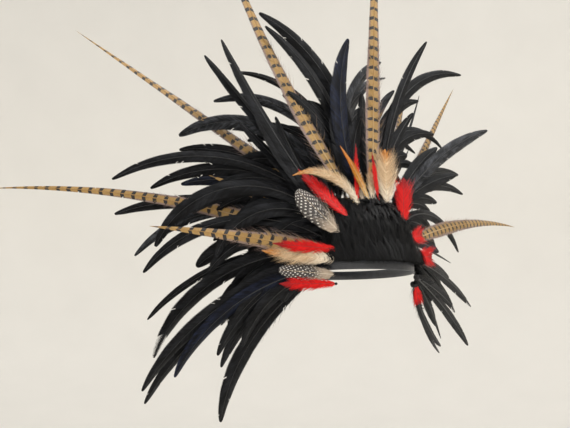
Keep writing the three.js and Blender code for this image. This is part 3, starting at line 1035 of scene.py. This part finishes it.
def add_hairs(mesh, tufts, rng):
    """One hair for each tuft."""
    shape = (len(tufts.tips), 3)
    start = tufts.roots + rng.normal(0, FUR_ROOT_SPREAD, shape) * MM
    start[:, 2] = np.maximum(start[:, 2], tufts.low - FUR_OVERLAP * MM)
    spread = rng.normal(0, FUR_TIP_SPREAD, shape) * MM
    end = tufts.tips + spread + tufts.fan * rng.uniform(*FUR_TIP_CHANCE, (len(start), 1)) * MM
    out = tufts.normals * (FUR_BEND_SHARE * tufts.length)[:, None]
    bend = start + (end - start) * FUR_BEND_AT + out
    add_strands(mesh, start, bend, end, FUR_HAIR_WIDTH, tufts.normals, rng)


def add_locks(mesh, tufts, rng):
    """One lock for each tuft of the crest."""
    high = tufts.crest > FUR_LOCK_FROM
    tips, fan, normals = tufts.tips[high], tufts.fan[high], tufts.normals[high]
    one_each = (len(tips), 1)
    start = tips - (fan * FUR_LOCK_BELOW + normals * FUR_LOCK_INSIDE) * MM
    end = tips + fan * rng.uniform(*FUR_LOCK_REACH, one_each) * MM
    end = end + np.cross(normals, fan) * rng.normal(0, FUR_LOCK_SIDEWAYS, one_each) * MM
    bend = (start + end) / 2 + normals * FUR_LOCK_BEND * MM
    add_strands(mesh, start, bend, end, FUR_LOCK_WIDTH, normals, rng)


def fur_material():
    """Black hair, a little lighter at its tip, and greyer in a few hairs as a painted sheen."""
    shader = Shader("fur_hair")
    root_to_tip, _, _ = shader.attribute("place")
    _, tone, _ = shader.attribute("trait")
    tint = shader.mix(root_to_tip, colour(2, 2, 2), colour(12, 12, 13))
    # A few hairs are greyer: a painted sheen on single strands.
    tint = shader.mix(shader.ramp(tone, 0.6, 1.0), tint, colour(34, 34, 37))
    return shader.finish(tint, 0.6, Specular_IOR_Level=0.25)


def build_fur():
    """The fur panel over the brow: black hair in pointed tufts that fan up and out."""
    rng = np.random.default_rng(FUR_SEED)
    tufts = Tufts(rng)
    mesh = Mesh()
    for _ in range(FUR_HAIRS):
        add_hairs(mesh, tufts, rng)
    for _ in range(FUR_LOCKS):
        add_locks(mesh, tufts, rng)
    stand_in(mesh.finish("fur_hair", [fur_material()]), "fur_panel")


# The headband's cloth: its thickness, crown and pucker in millimetres, how its section and its
# loop are divided, its hem as a share of its thickness, and after how many steps it changes.
BAND_SEED = 3
BAND_THICKNESS = 2
BAND_CROWN = 0.35
BAND_PUCKER = 0.3
BAND_STEPS = 360
BAND_SIDE_POINTS = 9
BAND_HEM = 0.35
PUCKER_FINE, PUCKER_BROAD, PUCKER_SLANT = 3, 9, 6
PUCKER_BELOW = 0.35


def band_section(height, thickness):
    """The outline of the band's section as (out, up) pairs, from its inside rim round."""
    bulge = BAND_CROWN * MM
    hem = BAND_HEM * thickness
    outer = [(thickness - bulge * (2 * t - 1) ** 2, t * height)
             for t in np.linspace(0.06, 0.94, BAND_SIDE_POINTS)]
    return ([(0.0, hem), (hem, 0.0), (thickness - hem, 0.0)] + outer
            + [(thickness - hem, height), (hem, height), (0.0, height - hem)])


def band_points(low, high, section):
    """The band's points and their places, one section after another round the loop."""
    half_x, half_y, height = (high.x - low.x) / 2, (high.y - low.y) / 2, high.z - low.z
    thickness = BAND_THICKNESS * MM
    rng = np.random.default_rng(BAND_SEED)
    pucker = wander(rng, BAND_STEPS, PUCKER_FINE) * 0.5 + wander(rng, BAND_STEPS, PUCKER_BROAD) * 0.5
    slant = wander(rng, BAND_STEPS, PUCKER_SLANT)
    points, place = [], []
    for step in range(BAND_STEPS):
        angle = 2 * math.pi * step / BAND_STEPS
        for out, up in section:
            level = up / height
            fold = pucker[step] * (PUCKER_BELOW + (1 - PUCKER_BELOW) * level)
            fold += slant[step] * (level - 0.5)
            dent = BAND_PUCKER * MM * (1 + fold) if out > thickness / 2 else 0
            inset = thickness - out + dent
            points.append(((half_x - inset) * math.sin(angle), -(half_y - inset) * math.cos(angle),
                           low.z + up))
            place.append((angle, up, out))
    return points, place


def band_material():
    """Coated black cloth with fine grain and soft creases, with a painted sheen on the crease tops
    and painted shade in their hollows.
    """
    shader = Shader("band_cloth")
    spot = shader.node("TexCoord").outputs["Object"]
    grain = shader.noise(spot, 1500.0)
    crease_and_painted_light = shader.noise(spot, 140.0, 2.0)
    # Painted light: the cloth is lighter where the creases rise, a painted sheen, and darker where
    # they sink, a painted shade.
    tint = shader.mix(crease_and_painted_light, colour(34, 35, 38), colour(66, 67, 72))
    rough = shader.plus(0.28, shader.times(grain, 0.2))
    height_map = shader.plus(shader.times(grain, 0.2), crease_and_painted_light)
    return shader.finish(tint, rough, height_map, 0.25)


def build_headband():
    """A folded strip of coated black fabric, puckered a little where it bends."""
    low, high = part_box("headband")
    section = band_section(high.z - low.z, BAND_THICKNESS * MM)
    points, place = band_points(low, high, section)
    size = len(section)
    faces = []
    for step in range(BAND_STEPS):
        ahead = (step + 1) % BAND_STEPS
        for k in range(size):
            k_next = (k + 1) % size
            faces.append((step * size + k, ahead * size + k, ahead * size + k_next,
                          step * size + k_next))
    mesh = Mesh()
    mesh.add(points, faces, place, np.zeros((len(points), 3)), WEB_SLOT)
    stand_in(mesh.finish("headband_cloth", [band_material()]), "headband")


def felt_material():
    """Fuzzy, mottled black felt."""
    shader = Shader("felt")
    spot = shader.node("TexCoord").outputs["Object"]
    fuzz = shader.noise(spot, 900.0, 6.0)
    mottle = shader.noise(spot, 90.0)
    tint = shader.mix(fuzz, colour(12, 12, 13), colour(36, 36, 38))
    tint = shader.mix(shader.times(mottle, 0.4), tint, colour(20, 19, 20))
    return shader.finish(tint, 0.95, fuzz, 0.6, 0.5 * MM, Sheen_Weight=0.2)


BACKING_SMOOTHING = 2


def build_backing():
    """The felt panel that carries the feathers."""
    points, triangles = merged_mesh("backing_panel")
    mesh = Mesh()
    mesh.add(points, triangles, points[:, [0, 2, 1]], np.zeros((len(points), 3)), WEB_SLOT)
    piece = mesh.finish("backing_felt", [felt_material()])
    smooth = piece.modifiers.new("smooth", "SUBSURF")
    smooth.levels = smooth.render_levels = BACKING_SMOOTHING
    stand_in(piece, "backing_panel")


# ---------------------------------------------------------------- studio

def build_studio():
    """The pale floor, which curves up into the wall."""
    profile = [(FLOOR_CENTRE, FLOOR_LEVEL), (FLOOR_RADIUS, FLOOR_LEVEL)]
    for step in range(1, CURVE_STEPS + 1):
        angle = math.pi / 2 * step / CURVE_STEPS
        profile.append((FLOOR_RADIUS + CURVE_RADIUS * math.sin(angle),
                        FLOOR_LEVEL + CURVE_RADIUS * (1 - math.cos(angle))))
    profile.append((FLOOR_RADIUS + CURVE_RADIUS, WALL_HEIGHT))
    turns = STUDIO_SIDES
    points = [(r * math.cos(2 * math.pi * k / turns), r * math.sin(2 * math.pi * k / turns), z)
              for r, z in profile for k in range(turns)]
    faces = [(i * turns + k, i * turns + (k + 1) % turns, (i + 1) * turns + (k + 1) % turns,
              (i + 1) * turns + k) for i in range(len(profile) - 1) for k in range(turns)]
    faces.append(tuple(range(turns))[::-1])
    mesh = bpy.data.meshes.new("studio_floor")
    mesh.from_pydata(points, [], faces)
    mesh.polygons.foreach_set("use_smooth", [True] * len(mesh.polygons))
    shader = Shader("studio_paint")
    grain = shader.noise(shader.node("TexCoord").outputs["Object"], STUDIO_GRAIN)
    mesh.materials.append(shader.finish(
        shader.mix(grain, colour(219, 216, 210), colour(226, 223, 217)), 0.9))
    floor = bpy.data.objects.new("studio_floor", mesh)
    bpy.context.scene.collection.objects.link(floor)


def add_area_light(name, place, target, size, power, tint):
    """A round lamp that looks from its place at a target."""
    light = bpy.data.lights.new(name, "AREA")
    light.shape = "DISK"
    light.size = size
    light.energy = power
    light.color = tint
    lamp = bpy.data.objects.new(name, light)
    bpy.context.scene.collection.objects.link(lamp)
    lamp.location = place
    lamp.rotation_euler = (Vector(target) - Vector(place)).to_track_quat("-Z", "Y").to_euler()
    lamp.visible_camera = False


def build_lights():
    """A pale world, soft lamps on the headdress and lamps that wash the wall."""
    scene = bpy.context.scene
    scene.view_settings.view_transform = "Standard"
    world = bpy.data.worlds.new("soft_studio")
    world.use_nodes = True
    world.node_tree.nodes["Background"].inputs[0].default_value = colour(236, 236, 235)
    world.node_tree.nodes["Background"].inputs[1].default_value = WORLD_STRENGTH
    scene.world = world
    for name, place, size, power, tint in LAMPS:
        add_area_light(name, place, LAMP_AIM, size, power, tint)
    for turn in range(WALL_LAMPS):
        angle = math.pi / 4 + math.pi / 2 * turn
        across, ahead = math.sin(angle), math.cos(angle)
        add_area_light(f"wall_{turn}",
                       (WALL_LAMP_OUT * across, WALL_LAMP_OUT * ahead, WALL_LAMP_HEIGHT),
                       (WALL_AIM_OUT * across, WALL_AIM_OUT * ahead, WALL_AIM_HEIGHT),
                       WALL_LAMP_SIZE, WALL_LAMP_POWER, WALL_LAMP_TINT)


def build_camera():
    """The camera, below the brow and to the wearer's right."""
    azimuth, elevation = math.radians(CAMERA_AZIMUTH), math.radians(CAMERA_ELEVATION)
    data = bpy.data.cameras.new("camera")
    data.lens = CAMERA_LENS
    data.sensor_width = SENSOR_WIDTH
    data.clip_end = CAMERA_CLIP
    camera = bpy.data.objects.new("camera", data)
    bpy.context.scene.collection.objects.link(camera)
    camera.location = (CAMERA_DISTANCE * math.sin(azimuth) * math.cos(elevation),
                       -CAMERA_DISTANCE * math.cos(azimuth) * math.cos(elevation),
                       CAMERA_DISTANCE * math.sin(elevation))
    look = Vector(CAMERA_AIM) - camera.location
    camera.rotation_euler = look.to_track_quat("-Z", "Y").to_euler()
    bpy.context.scene.camera = camera


build_camera()
build_studio()
build_lights()
build_feathers()
build_fur()
build_headband()
build_backing()
